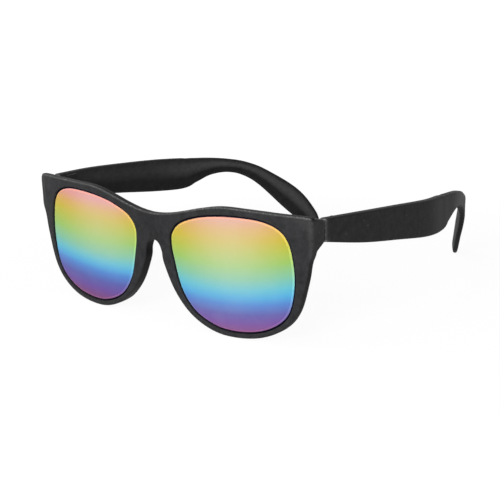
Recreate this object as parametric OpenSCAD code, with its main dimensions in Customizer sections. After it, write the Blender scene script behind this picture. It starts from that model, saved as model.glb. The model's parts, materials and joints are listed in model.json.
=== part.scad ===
// Sunglasses: a wrapped one-piece front with two mirrored lenses,
// and two temples that fold on three-barrel metal hinges.
// The wearer's left is +X. The front faces -Y and the temples run back along +Y.
// Rims and temple tips stand on z = 0, with the origin under the middle of the box.

/* [Lenses] */
// Width of a lens opening
lens_w = 53.5; // [46:0.1:58]
// Height of a lens opening
lens_h = 43.2; // [36:0.1:48]
// Distance between the two lens openings
lens_gap = 17.8; // [14:0.1:24]
// Thickness of a lens
lens_t = 1.8; // [1.4:0.1:2.2]
// How far a lens sits back from the face of its rim
lens_inset = 0.5; // [0.2:0.1:0.8]
// How far a lens reaches into its groove
groove_depth = 0.6; // [0.4:0.1:0.8]
// Room between a lens and its groove
lens_fit = 0.04; // [0.02:0.01:0.08]

/* [Front] */
// Radius of the front's wrap round the face
wrap_r = 320; // [250:1:420]
// Thickness of the front
front_t = 3.0; // [2.8:0.1:4.5]
// Width of the rim above a lens
rim_top = 3.0; // [1.4:0.1:4]
// Width of the rim beside the cheek
rim_outer = 4.3; // [3:0.1:5]
// Width of the rim below a lens
rim_low = 2.2; // [1.8:0.1:4]
// Width of the rim at the low corner by the nose
rim_corner = 2.4; // [2:0.1:4]
// Width of the rim beside the nose
rim_nose = 5.4; // [3.4:0.1:6]
// Drop of the bridge's top edge below the brow
bridge_dip = 6.1; // [2:0.1:8]
// Height of the bridge from the nose arch to its top edge
bridge_h = 10.3; // [8:0.1:12]
// Width of the front outside a lens, at the end-piece
end_w = 7.4; // [6.5:0.1:9]
// Fall of the brow from above the lens to the corner
corner_fall = 0.5; // [0:0.1:2]
// Radius of the front's corner, seen from above
corner_r = 1.4; // [0.8:0.1:2.4]
// Height of the corner above its foot
corner_h = 12.6; // [9.5:0.1:14]
// Depth of the moulded nose pads behind the front
pad_depth = 1.4; // [1:0.1:3]

/* [Hinges] */
// Distance from the front of the bridge back to the hinge gap
hinge_back = 14.3; // [14:0.1:17]
// Flare of an end-piece from the corner to the hinge gap
hinge_flare = 0.3; // [0:0.1:2]
// Drop of the hinge's middle below the brow
hinge_drop = 6.2; // [4.6:0.1:7]
// Gap between an end-piece and its temple
hinge_gap = 0.2; // [0.1:0.05:0.4]
// Radius of the hinge barrels
barrel_r = 1.5; // [1.3:0.05:1.8]
// Room between a barrel and the plastic beside it
barrel_room = 0.15; // [0.1:0.05:0.3]
// Height of the middle barrel
barrel_mid_h = 2.4; // [1.6:0.1:3]
// Height of each outer barrel
barrel_end_h = 1.6; // [1.4:0.1:2.2]
// Running gap between two barrels
barrel_gap = 0.08; // [0.05:0.01:0.15]
// Thickness of a hinge leaf
leaf_t = 0.9; // [0.7:0.1:1.2]
// Length of the leaf in the end-piece
front_leaf_l = 5.4; // [4.6:0.1:6]
// Length of the leaf in the temple
temple_leaf_l = 7.6; // [6:0.1:12]
// Radius of a leaf's anchor studs
stud_r = 0.5; // [0.4:0.05:0.6]
// Length of a leaf's anchor studs
stud_l = 1.4; // [0.8:0.1:1.8]
// Radius of the hinge screw's shank
screw_r = 0.6; // [0.5:0.05:0.7]
// Radius of the hinge screw's head
screw_head_r = 1.05; // [0.9:0.05:1.15]
// Height of the hinge screw's head
screw_head_h = 0.6; // [0.4:0.05:0.8]
// Running clearance of the screw in the barrels
screw_fit = 0.04; // [0.02:0.01:0.08]

/* [Temples] */
// Thickness of a temple
temple_t = 3.8; // [3.2:0.1:5]
// Height of a temple at the hinge
temple_root_h = 8.2; // [7.6:0.1:9]
// Height of a temple at its widest
temple_wide_h = 14.0; // [10:0.1:16]
// Height of a temple at its bend
temple_bend_h = 6.1; // [5:0.1:9]
// Height of a temple's paddle behind the ear
temple_tip_h = 10.9; // [9:0.1:15]
// Thickness of a temple along its hook
hook_t = 2.2; // [1.8:0.1:3.6]
// Distance from the hinge gap back to the tip
temple_reach = 134.0; // [115:0.1:145]
// How far a temple bows out past its hinge
temple_bow = 3.4; // [0:0.1:10]
// How far the tip lies inboard of the hinge
tip_inboard = 30.3; // [10:0.1:34]
// Drop of a temple from its hinge to the bend
temple_dip = 10.2; // [6:0.1:13]
// Drop of the hook from the bend to the tip
hook_drop = 34.2; // [25:0.1:38]
// Radius of a temple's long edges
edge_r = 1.0; // [0.5:0.1:1.4]
// Height of the crease along a temple's inner face
crease = 0.8; // [0:0.05:0.9]

/* [Hidden] */

FRAME_BLACK = [0.19, 0.19, 0.2];
TEMPLE_BLACK = [0.16, 0.16, 0.17];
LENS_COLOUR = [0.62, 0.8, 0.62];
LEAF_COLOUR = [0.14, 0.14, 0.15];
SCREW_COLOUR = [0.7, 0.7, 0.72];
ARC_FN = 48;
WRAP_FN = 480;

// A spline piece through b and c, with a and d as their neighbours
function piece(a, b, c, d, t) = 0.5 * (2 * b + (c - a) * t + (2 * a - 5 * b + 4 * c - d) * t * t
                                       + (3 * b - a - 3 * c + d) * t * t * t);
// Any index of a closed list of n points
function at(i, n) = (i + n) % n;
// A closed smooth curve through the points, with a number of steps between two of them
function closed_curve(p, steps) = [for (i = [0:len(p) - 1]) for (k = [0:steps - 1])
    piece(p[at(i - 1, len(p))], p[i], p[at(i + 1, len(p))], p[at(i + 2, len(p))], k / steps)];
// A point of an open smooth curve, where t runs from 0 to the last index
function open_point(p, t) = let (i = min(floor(t), len(p) - 2), last = len(p) - 1)
    piece(i == 0 ? 2 * p[0] - p[1] : p[i - 1], p[i], p[i + 1],
          i + 2 > last ? 2 * p[last] - p[last - 1] : p[i + 2], t - i);
function unit(v) = v / norm(v);
// The outward normal at point i of a closed outline that runs anticlockwise
function normal(p, i) = let (d = unit(p[at(i + 1, len(p))] - p[at(i - 1, len(p))])) [d.y, -d.x];
// The outline moved outward by d
function grown(p, d) = [for (i = [0:len(p) - 1]) p[i] + d * normal(p, i)];
// A smooth step from 0 to 1
function ease(t) = let (c = max(0, min(1, t))) c * c * (3 - 2 * c);
// The depth of the front's face at x
function wrap_y(x) = wrap_r - sqrt(wrap_r * wrap_r - x * x);

// Lens outline in half widths and half heights, anticlockwise from the cheek side
LENS_FORM = [[0.998, 0.03], [0.965, 0.49], [0.884, 0.75], [0.742, 0.898], [0.52, 0.98], [0.23, 1],
             [-0.15, 0.978], [-0.5, 0.908], [-0.82, 0.765], [-0.975, 0.57], [-1, 0.36], [-0.955, 0.05],
             [-0.85, -0.4], [-0.634, -0.75], [-0.3, -0.95], [0.05, -1], [0.45, -0.928],
             [0.764, -0.731], [0.93, -0.45]];
lens_x = (lens_gap + lens_w) / 2;
lens_points = [for (p = LENS_FORM) [lens_x + p.x * lens_w / 2, p.y * lens_h / 2]];
LENS_STEPS = 4;
lens_outline = closed_curve(lens_points, LENS_STEPS);

front_half = lens_x + lens_w / 2 + end_w;
// Half extent of the shapes that are cut to size, past every face of the front
CUT = front_half;
brow_z = lens_h / 2 + rim_top;
bridge_z = brow_z - bridge_dip;
arch_z = bridge_z - bridge_h;
// The brow's top edge rises from the bridge and falls a little to the corner
brow_rise = lens_gap / 2 + 0.5 * lens_w;
function brow_at(x) = bridge_z + bridge_dip * ease(x / brow_rise)
                      - corner_fall * ease((x - brow_rise) / (front_half - brow_rise));
// A point of the rim's outer edge, w outside lens point i
function rim_point(i, w) = lens_points[i] + w * normal(lens_points, i);
corner_top = brow_at(front_half);
foot_z = corner_top - corner_h;
// Half of the front's outline, clockwise from beside the middle of the brow
half_outline = [
    for (k = [0.1, 0.2, 0.315, 0.46, 0.63, 0.8]) [k * front_half, brow_at(k * front_half)],
    [front_half - 2.2, corner_top],
    [front_half - 0.6, corner_top - 0.6],
    [front_half, corner_top - 2.2],
    [front_half, corner_top - 6.4],
    [front_half - 0.3, foot_z],
    [lens_x + lens_w / 2 + 0.76 * end_w, foot_z - 4.2],
    rim_point(0, rim_outer),
    rim_point(18, rim_outer - 1.5),
    rim_point(17, rim_low + 0.1),
    rim_point(16, rim_low),
    rim_point(15, rim_low),
    rim_point(14, rim_low + 0.1),
    rim_point(13, rim_corner),
    rim_point(12, rim_nose - 1.9),
    rim_point(11, rim_nose),
    [4, arch_z - 3.9],
    [2.5, arch_z - 0.9]];
front_points = [[0, bridge_z], each half_outline, [0, arch_z],
                for (i = [len(half_outline) - 1:-1:0]) [-half_outline[i].x, half_outline[i].y]];
front_outline = closed_curve(front_points, 4);

// The hinge
hinge_z = brow_z - hinge_drop;
hinge_half = front_half + hinge_flare;
inner_x = hinge_half - temple_t;
pivot_x = inner_x - barrel_room - barrel_r;
barrel_stack = barrel_mid_h + 2 * (barrel_gap + barrel_end_h);
bore_r = screw_r + screw_fit;
leaf_in = leaf_t / 2;
leaf_clear = 0.3;
leaf_fit = 0.02;

// Temple path from the hinge gap, as [outward, back, up, half height, lean]
root_half = temple_root_h / 2;
wide_half = temple_wide_h / 2;
bend_half = temple_bend_h / 2;
tip_half = temple_tip_h / 2;
root_to_wide = wide_half - root_half;
bend_to_wide = wide_half - bend_half;
bend_to_tip = tip_half - bend_half;
temple_path = [
    [0, 0, 0, root_half, 0],
    [0.79 * temple_bow, 0.151 * temple_reach, -0.295 * temple_dip, root_half + 0.52 * root_to_wide, 0],
    [temple_bow, 0.302 * temple_reach, -0.57 * temple_dip, root_half + 0.79 * root_to_wide, 0],
    [0.94 * temple_bow, 0.449 * temple_reach, -0.843 * temple_dip, wide_half, 0],
    [0.1 * temple_bow, 0.551 * temple_reach, -0.98 * temple_dip, bend_half + 0.96 * bend_to_wide, 0],
    [-0.042 * tip_inboard, 0.597 * temple_reach, -0.936 * temple_dip, bend_half + 0.65 * bend_to_wide, 0.6],
    [-0.113 * tip_inboard, 0.658 * temple_reach, -0.887 * temple_dip, bend_half + 0.22 * bend_to_wide, 1.8],
    [-0.22 * tip_inboard, 0.724 * temple_reach, -0.97 * temple_dip, bend_half, 3],
    [-0.337 * tip_inboard, 0.787 * temple_reach, -temple_dip - 0.07 * hook_drop,
     bend_half + 0.06 * bend_to_tip, 2.5],
    [-0.472 * tip_inboard, 0.852 * temple_reach, -temple_dip - 0.237 * hook_drop,
     bend_half + 0.38 * bend_to_tip, 2],
    [-0.75 * tip_inboard, 0.933 * temple_reach, -temple_dip - 0.59 * hook_drop, tip_half, 9],
    [-tip_inboard, temple_reach, -temple_dip - hook_drop, 0.62 * tip_half, 16]];
// Indices of the path between which a temple thins to its hook
THIN_START = 6;
THIN_END = 10;
// Share of the last path piece over which the tip rounds off
TIP_SHARE = 0.4;
TEMPLE_STEPS = 5;
LAST = len(temple_path) - 1;
temple_times = [for (k = [0:TEMPLE_STEPS * LAST - 3]) k / TEMPLE_STEPS,
                for (a = [0:15:75]) LAST - TIP_SHARE * (1 - sin(a)), LAST - 0.02 * TIP_SHARE];
// Rounding of the section near the tip
function tip_scale(t) = let (e = max(0, 1 - (LAST - t) / TIP_SHARE)) sqrt(1 - e * e);
// Section of a temple, outer face at +x, anticlockwise: four rounded edges and the inner crease
function section(h, w, fold) = let (r = min(edge_r, 0.9 * w, 0.9 * h)) [
    for (q = [[1, 1, 0], [-1, 1, 90], [-1, -1, 180], [1, -1, 270]]) each [
        for (a = [0:30:90]) [q[0] * (w - r) + r * cos(q[2] + a), q[1] * (h - r) + r * sin(q[2] + a)],
        if (q[0] == -1 && q[1] == 1) [-w - fold, 0.1 * h]]];
// Ring of a temple at time t, in the front's frame on the +X side
function temple_ring(t) = let (
    c = open_point(temple_path, t),
    ahead = open_point(temple_path, min(t + 0.02, LAST)),
    behind = open_point(temple_path, max(t - 0.02, 0)),
    d = t == 0 ? [0, 1, 0] : unit([ahead[0] - behind[0], ahead[1] - behind[1], ahead[2] - behind[2]]),
    out = unit([d.y, -d.x, 0]),
    up = cross(out, d),
    s = tip_scale(t),
    a = cos(c[4]) * up + sin(c[4]) * out,
    b = cos(c[4]) * out - sin(c[4]) * up,
    mid = [inner_x + temple_t / 2 + c[0], hinge_back + hinge_gap + c[1], hinge_z + c[2]],
    thick = temple_t + (hook_t - temple_t) * ease((t - THIN_START) / (THIN_END - THIN_START)),
    fold = crease * ease((t - 0.6) / 0.8) * s)
    [for (p = section(c[3] * s, thick / 2 * (0.35 + 0.65 * s), fold)) mid + p.x * b + p.y * a];
temple_rings = [for (t = temple_times) temple_ring(t)];

// How the part stands: the rims and the tips share the floor
rim_rest = [wrap_y(lens_points[14].x), -lens_h / 2 - rim_low];
tip_points = [for (r = temple_rings) for (p = r) [p.y, p.z]];
tip_rest = [for (p = tip_points) if (p.y == min([for (q = tip_points) q.y])) p][0];
rest_tilt = atan((rim_rest.y - tip_rest.y) / (tip_rest.x - rim_rest.x));
rest_z = -(rim_rest.x * sin(rest_tilt) + rim_rest.y * cos(rest_tilt));
back_y = max([for (p = tip_points) p.x * cos(rest_tilt) - p.y * sin(rest_tilt)]);
rest_y = -(back_y - bridge_z * sin(rest_tilt)) / 2;

// Carries a piece from the front's frame to the part's own
module stand() {
    translate([0, rest_y, rest_z]) rotate([rest_tilt, 0, 0]) children();
}
// One side: 1 is the wearer's left, -1 the mirrored right
module side(s) {
    if (s == 1) children();
    else mirror([1, 0, 0]) children();
}
// A front-view outline extruded through the part
module through(outline) {
    translate([0, CUT, 0]) rotate([90, 0, 0]) linear_extrude(2 * CUT) polygon(outline);
}
// The wrapped shell between two depths behind the front's face
module shell(near, far) {
    translate([0, wrap_r, -CUT]) difference() {
        cylinder(r = wrap_r - near, h = 2 * CUT, $fn = WRAP_FN);
        translate([0, 0, -1]) cylinder(r = wrap_r - far, h = 2 * CUT + 2, $fn = WRAP_FN);
    }
}
// A closed skin over a row of rings with the same number of points
module skin(rings) {
    n = len(rings[0]);
    m = len(rings);
    points = [for (r = rings) each r];
    sides = [for (j = [0:m - 2]) for (i = [0:n - 1]) each [
        [j * n + i, (j + 1) * n + i, (j + 1) * n + (i + 1) % n],
        [j * n + i, (j + 1) * n + (i + 1) % n, j * n + (i + 1) % n]]];
    polyhedron(points, [[for (i = [0:n - 1]) i], each sides, [for (i = [n - 1:-1:0]) (m - 1) * n + i]]);
}

// Where the front leaf lies: on a boss of the end-piece, parallel to the front
boss_y = hinge_back - barrel_r - leaf_clear - leaf_in;
boss_x = inner_x - front_leaf_l - 0.6;
// End-piece on the +X side: a wall that runs back to the hinge gap, with the boss inboard of it
module end_piece() {
    shell_back = wrap_y(front_half) + front_t;
    plan = [[boss_x - 1.4, wrap_y(boss_x - 1.4) + front_t - 0.6],
            [front_half - 0.4, wrap_y(front_half) + 0.2],
            [front_half, wrap_y(front_half) + corner_r],
            [hinge_half, hinge_back],
            [inner_x, hinge_back],
            [inner_x, boss_y],
            [boss_x, boss_y]];
    low = hinge_z - temple_root_h / 2;
    high = hinge_z + temple_root_h / 2;
    profile = [[wrap_y(front_half), corner_top - 0.2],
               [hinge_back - 0.8, high],
               [hinge_back, high - 0.6],
               [hinge_back, low],
               [hinge_back - 0.4, low - 0.6],
               [hinge_back - 1.5, low - 1.4],
               [shell_back + 0.4, low - 2.2],
               [shell_back, low - 2.8],
               [shell_back - 0.6, foot_z + 0.3],
               [wrap_y(boss_x), foot_z + 0.3],
               [wrap_y(boss_x), corner_top - 0.2]];
    intersection() {
        translate([0, 0, -CUT]) linear_extrude(2 * CUT) polygon(plan);
        rotate([90, 0, 90]) linear_extrude(2 * CUT) polygon(profile);
    }
}
// What is cut away to round the front's corner, seen from above
module corner_cut() {
    mid = [front_half - corner_r, wrap_y(front_half) + corner_r];
    points = [for (a = [-90:15:0]) mid + corner_r * [cos(a), sin(a)]];
    translate([0, 0, -CUT]) linear_extrude(2 * CUT)
        polygon([each points, [front_half + 4, mid.y], [front_half + 4, mid.y - corner_r - 4],
                 [mid.x, mid.y - corner_r - 4]]);
}
// Moulded nose pad: a ridge behind the rim, flush with the edge of the arch and of the rim beside the nose
pad_half = 1.5;
pad_path = [[0.6, arch_z + pad_half], [3.5, arch_z + 0.2], [5.4, arch_z - 3],
            rim_point(11, rim_nose - pad_half), rim_point(12, rim_nose - 1.9 - pad_half),
            rim_point(13, rim_corner - pad_half), rim_point(14, rim_low - pad_half + 0.1)];
PAD_LAST = len(pad_path) - 1;
function pad_ring(t) = let (
    c = open_point(pad_path, t),
    d = open_point(pad_path, min(t + 0.02, PAD_LAST)) - open_point(pad_path, max(t - 0.02, 0)),
    across = unit([d.y, -d.x]),
    s = 0.12 + 0.88 * sqrt(max(0, sin(180 * t / PAD_LAST))),
    w = pad_half * (0.5 + 0.5 * s))
    [for (a = [0:30:330]) let (v = (sin(a) > 0 ? pad_depth + 1 : 1.2) * s * sin(a))
        [c.x + w * cos(a) * across.x, wrap_y(c.x) + front_t - 1 + v, c.y + w * cos(a) * across.y]];
module nose_pad() {
    skin([for (t = [0.04:0.14:PAD_LAST - 0.04]) pad_ring(t)]);
}

barrel_low = hinge_z - barrel_stack / 2;
barrel_high = hinge_z + barrel_stack / 2;
mid_low = hinge_z - barrel_mid_h / 2;
mid_high = hinge_z + barrel_mid_h / 2;
stud_heights = [barrel_low + barrel_stack * 0.25, barrel_high - barrel_stack * 0.25];
// Barrel of the hinge between two heights
module barrel(low, high) {
    translate([pivot_x, hinge_back, low]) cylinder(r = barrel_r, h = high - low, $fn = ARC_FN);
}
// Plate and studs of the front leaf, grown by room
module front_plate(room) {
    translate([inner_x - front_leaf_l - room, boss_y - leaf_in - room, barrel_low - room])
        cube([front_leaf_l - barrel_room + 2 * room, leaf_t + 2 * room, barrel_stack + 2 * room]);
    for (x = [inner_x - 0.8 * front_leaf_l, inner_x - 0.26 * front_leaf_l], z = stud_heights)
        translate([x, boss_y, z]) rotate([90, 0, 0])
            cylinder(r = stud_r + room, h = leaf_in + stud_l + room, $fn = ARC_FN);
}
module front_leaf() {
    difference() {
        union() {
            for (b = [[barrel_low, mid_low - barrel_gap], [mid_high + barrel_gap, barrel_high]]) {
                barrel(b[0], b[1]);
                translate([pivot_x - 0.75 * barrel_r, boss_y, b[0]])
                    cube([1.5 * barrel_r, hinge_back - boss_y, b[1] - b[0]]);
            }
            front_plate(0);
        }
        translate([pivot_x, hinge_back, barrel_low - 1])
            cylinder(r = bore_r, h = barrel_stack + 2, $fn = ARC_FN);
        translate([pivot_x, hinge_back, barrel_high - screw_head_h])
            cylinder(r = screw_head_r + screw_fit, h = 2, $fn = ARC_FN);
    }
}
// Plate and studs of the temple leaf, grown by room
module temple_plate(room) {
    start = hinge_back + barrel_r + leaf_clear;
    translate([inner_x - leaf_in - room, start - room, barrel_low - room])
        cube([leaf_t + 2 * room, temple_leaf_l + 2 * room, barrel_stack + 2 * room]);
    for (z = stud_heights)
        translate([inner_x, start + temple_leaf_l - 1.1, z]) rotate([0, 90, 0])
            cylinder(r = stud_r + room, h = leaf_in + stud_l + room, $fn = ARC_FN);
}
module temple_leaf() {
    difference() {
        union() {
            barrel(mid_low, mid_high);
            translate([pivot_x + 0.3, hinge_back, mid_low])
                cube([barrel_r - 0.3, barrel_r + leaf_clear + 0.6, mid_high - mid_low]);
            temple_plate(0);
        }
        translate([pivot_x, hinge_back, barrel_low - 1])
            cylinder(r = bore_r, h = barrel_stack + 2, $fn = ARC_FN);
    }
}
module hinge_screw() {
    difference() {
        translate([pivot_x, hinge_back, 0]) union() {
            translate([0, 0, barrel_low]) cylinder(r = screw_r, h = barrel_stack - screw_fit, $fn = ARC_FN);
            translate([0, 0, barrel_high - screw_head_h + screw_fit])
                cylinder(r = screw_head_r, h = screw_head_h - screw_fit, $fn = ARC_FN);
        }
        translate([pivot_x - 2, hinge_back - 0.15, barrel_high - 0.3]) cube([4, 0.3, 1]);
    }
}
module lens() {
    intersection() {
        through(grown(lens_outline, groove_depth));
        shell(lens_inset, lens_inset + lens_t);
    }
}
module temple() {
    difference() {
        skin(temple_rings);
        temple_plate(leaf_fit);
    }
}

module front_frame() {
    color(FRAME_BLACK) stand() difference() {
        union() {
            intersection() {
                through(front_outline);
                shell(0, front_t);
            }
            for (s = [1, -1]) side(s) {
                end_piece();
                nose_pad();
            }
        }
        for (s = [1, -1]) side(s) {
            corner_cut();
            through(lens_outline);
            intersection() {
                through(grown(lens_outline, groove_depth + lens_fit));
                shell(lens_inset - lens_fit, lens_inset + lens_t + lens_fit);
            }
            front_plate(leaf_fit);
        }
    }
}
module lens_left() { color(LENS_COLOUR) stand() side(1) lens(); }
module lens_right() { color(LENS_COLOUR) stand() side(-1) lens(); }
module front_leaf_left() { color(LEAF_COLOUR) stand() side(1) front_leaf(); }
module front_leaf_right() { color(LEAF_COLOUR) stand() side(-1) front_leaf(); }
module hinge_screw_left() { color(SCREW_COLOUR) stand() side(1) hinge_screw(); }
module hinge_screw_right() { color(SCREW_COLOUR) stand() side(-1) hinge_screw(); }
module temple_leaf_left() { color(LEAF_COLOUR) stand() side(1) temple_leaf(); }
module temple_leaf_right() { color(LEAF_COLOUR) stand() side(-1) temple_leaf(); }
module temple_left() { color(TEMPLE_BLACK) stand() side(1) temple(); }
module temple_right() { color(TEMPLE_BLACK) stand() side(-1) temple(); }

front_frame();
lens_left();
lens_right();
front_leaf_left();
front_leaf_right();
hinge_screw_left();
hinge_screw_right();
temple_leaf_left();
temple_leaf_right();
temple_left();
temple_right();
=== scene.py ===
"""Mirrored sunglasses: the moulded front, its mirror lenses, the two folding temples and their hinges.

Shapes are worked out in millimetres in the front's own frame: x towards the wearer's left, y back from the
middle of the bridge and z up from the middle of a lens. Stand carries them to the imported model's frame.
"""

import json
import logging
import math
from dataclasses import dataclass, field
from enum import Enum
from typing import Any, Sequence, Union

import bpy
import numpy as np
from mathutils import Matrix, Vector

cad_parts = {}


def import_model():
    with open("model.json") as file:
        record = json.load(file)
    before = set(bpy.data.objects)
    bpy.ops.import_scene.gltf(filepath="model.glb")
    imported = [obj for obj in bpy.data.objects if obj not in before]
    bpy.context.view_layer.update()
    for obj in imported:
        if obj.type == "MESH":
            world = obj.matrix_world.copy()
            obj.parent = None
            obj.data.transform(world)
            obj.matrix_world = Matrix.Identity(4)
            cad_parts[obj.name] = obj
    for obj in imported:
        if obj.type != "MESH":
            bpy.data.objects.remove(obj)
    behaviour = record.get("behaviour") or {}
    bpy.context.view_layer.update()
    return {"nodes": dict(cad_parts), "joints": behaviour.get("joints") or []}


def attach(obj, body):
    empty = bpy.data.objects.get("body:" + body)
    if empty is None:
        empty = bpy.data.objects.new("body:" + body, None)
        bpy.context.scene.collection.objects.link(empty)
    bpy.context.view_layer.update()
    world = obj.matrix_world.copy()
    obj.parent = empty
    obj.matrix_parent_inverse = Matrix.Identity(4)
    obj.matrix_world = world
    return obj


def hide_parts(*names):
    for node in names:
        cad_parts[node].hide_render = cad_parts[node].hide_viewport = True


LOG = logging.getLogger("sunglasses")
MM = 0.001
EDGE_NAME = "edge_mm"
# Point values that the plastic reads: painted highlights, and painted shade.
PAINTED_HIGHLIGHT_NAME = "rub"
SHADE_NAME = "shade"

Face = tuple[int, ...]
Colour = tuple[float, float, float, float]
BLACK: Colour = (0.0, 0.0, 0.0, 1.0)
WHITE: Colour = (1.0, 1.0, 1.0, 1.0)


class Side(Enum):
    """The wearer's two sides, with the sign of x on each."""

    LEFT = 1
    RIGHT = -1

    @property
    def word(self) -> str:
        """The side's name as it ends a node's name."""
        return self.name.lower()


class Slot(Enum):
    """The record's material slots for the pieces that are built here."""

    PLASTIC = "frame_plastic"
    LENS = "lens_mirror"


# Shader graphs


class Signal:
    """The output socket of a node, which takes part in Python arithmetic."""

    def __init__(self, graph: "Graph", socket: bpy.types.NodeSocket) -> None:
        """Wraps socket, a socket in graph's tree."""
        self.graph = graph
        self.socket = socket

    def output(self, name: str) -> "Signal":
        """Another output of the same node."""
        return Signal(self.graph, self.socket.node.outputs[name])

    def _math(self, operation: str, *terms: "Term") -> "Signal":
        """A Math node on the terms."""
        return self.graph.make("Math", {"operation": operation}, dict(enumerate(terms)))

    def __add__(self, other: "Term") -> "Signal":
        """Sum."""
        return self._math("ADD", self, other)

    def __radd__(self, other: "Term") -> "Signal":
        """Sum with a number on the left."""
        return self._math("ADD", other, self)

    def __sub__(self, other: "Term") -> "Signal":
        """Difference."""
        return self._math("SUBTRACT", self, other)

    def __rsub__(self, other: "Term") -> "Signal":
        """Difference with a number on the left."""
        return self._math("SUBTRACT", other, self)

    def __mul__(self, other: "Term") -> "Signal":
        """Product."""
        return self._math("MULTIPLY", self, other)

    def __rmul__(self, other: "Term") -> "Signal":
        """Product with a number on the left."""
        return self._math("MULTIPLY", other, self)

    def __truediv__(self, other: "Term") -> "Signal":
        """Quotient."""
        return self._math("DIVIDE", self, other)

    def __abs__(self) -> "Signal":
        """Absolute value."""
        return self._math("ABSOLUTE", self)

    def clipped(self) -> "Signal":
        """The value held between 0 and 1."""
        return self.graph.make("Clamp", {}, {"Value": self})

    def step(self, low: float, high: float) -> "Signal":
        """A smooth step of the value.

        Args:
            low: The value where the step gives 0.
            high: The value where the step gives 1, which may be the smaller one.

        Returns:
            The step, from 0 to 1.
        """
        settings = {"interpolation_type": "SMOOTHSTEP"}
        if low < high:
            return self.graph.make("MapRange", settings, {"Value": self, "From Min": low, "From Max": high})
        return 1 - self.graph.make("MapRange", settings, {"Value": self, "From Min": high, "From Max": low})


Term = Union[Signal, float]


class Graph:
    """The node tree of a material or a world, built as expressions."""

    def __init__(self, owner: Union[bpy.types.Material, bpy.types.World]) -> None:
        """Empties the owner's tree.

        Args:
            owner: The material or world.
        """
        owner.use_nodes = True
        self.owner = owner
        self.tree = owner.node_tree
        self.tree.nodes.clear()

    @classmethod
    def of_material(cls, name: str) -> "Graph":
        """Starts a material of that name."""
        return cls(bpy.data.materials.new(name))

    def add(self, kind: str, settings: dict[str, Any], inputs: dict[Union[str, int], Any]) -> bpy.types.Node:
        """Adds any node.

        Args:
            kind: The node's type without its ShaderNode prefix.
            settings: Properties set first, and stops for a ramp, as (place, colour) pairs.
            inputs: Values or signals by socket name or number.

        Returns:
            The node.
        """
        node = self.tree.nodes.new("ShaderNode" + kind)
        for name, value in settings.items():
            if name == "stops":
                self._set_stops(node.color_ramp, value)
            else:
                setattr(node, name, value)
        for name, value in inputs.items():
            socket = node.inputs[name]
            if isinstance(value, Signal):
                self.tree.links.new(value.socket, socket)
            else:
                socket.default_value = value
        return node

    @staticmethod
    def _set_stops(ramp: bpy.types.ColorRamp, stops: Sequence[tuple[float, Colour]]) -> None:
        """Gives a ramp its stops.

        Args:
            ramp: The ramp, which has two stops or more.
            stops: Its places and colours.
        """
        while len(ramp.elements) < len(stops):
            ramp.elements.new(1.0)
        for element, (place, colour) in zip(ramp.elements, stops):
            element.position = place
            element.color = colour

    def make(
        self,
        kind: str,
        settings: dict[str, Any],
        inputs: dict[Union[str, int], Any],
        output: Union[str, int] = 0,
    ) -> Signal:
        """Adds a node as add does and returns the output of that name or number."""
        return Signal(self, self.add(kind, settings, inputs).outputs[output])

    def place(self) -> Signal:
        """The point on the object, in metres in the row frame."""
        return self.make("TexCoord", {}, {}, "Object")

    def read(self, name: str) -> Signal:
        """The value that the mesh's points keep under that name."""
        return self.make("Attribute", {"attribute_name": name}, {}, "Fac")

    def noise(self, scale: float, detail: float, roughness: float = 0.5) -> Signal:
        """Noise over the object, with scale in waves per metre."""
        inputs = {"Vector": self.place(), "Scale": scale, "Detail": detail, "Roughness": roughness}
        return self.make("TexNoise", {}, inputs, "Fac")

    def mix(self, factor: Term, low: Any, high: Any, blend: str = "MIX") -> Signal:
        """A mix of two colours."""
        settings = {"data_type": "RGBA", "blend_type": blend}
        return self.make("Mix", settings, {0: factor, 6: low, 7: high}, 2)

    def bump(self, height: Signal, strength: float, distance: float) -> Signal:
        """A bump from a height signal, with distance in metres."""
        return self.make("Bump", {}, {"Height": height, "Strength": strength, "Distance": distance})

    def sharp_ray(self) -> Signal:
        """1 for rays that come from the camera, off a mirror or through glass, and 0 for soft light."""
        ray = self.make("LightPath", {}, {}, "Is Camera Ray")
        return (ray + ray.output("Is Glossy Ray") + ray.output("Is Transmission Ray")).clipped()

    def surface(self, inputs: dict[str, Any]) -> bpy.types.Material:
        """Ends the tree in a Principled shader with these inputs and returns the material."""
        self.add("OutputMaterial", {}, {"Surface": self.make("BsdfPrincipled", {}, inputs)})
        return self.owner


# Finishes


def linear(screen: Sequence[float]) -> Colour:
    """The linear colour of a screen colour.

    Args:
        screen: Its red, green and blue in steps of 0 to 255.

    Returns:
        The colour.
    """
    shares = [part / 255 for part in screen]
    red, green, blue = [s / 12.92 if s <= 0.04045 else ((s + 0.055) / 1.055) ** 2.4 for s in shares]
    return red, green, blue, 1.0


def grey(level: float) -> Colour:
    """The linear grey of that level."""
    return level, level, level, 1.0


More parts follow.
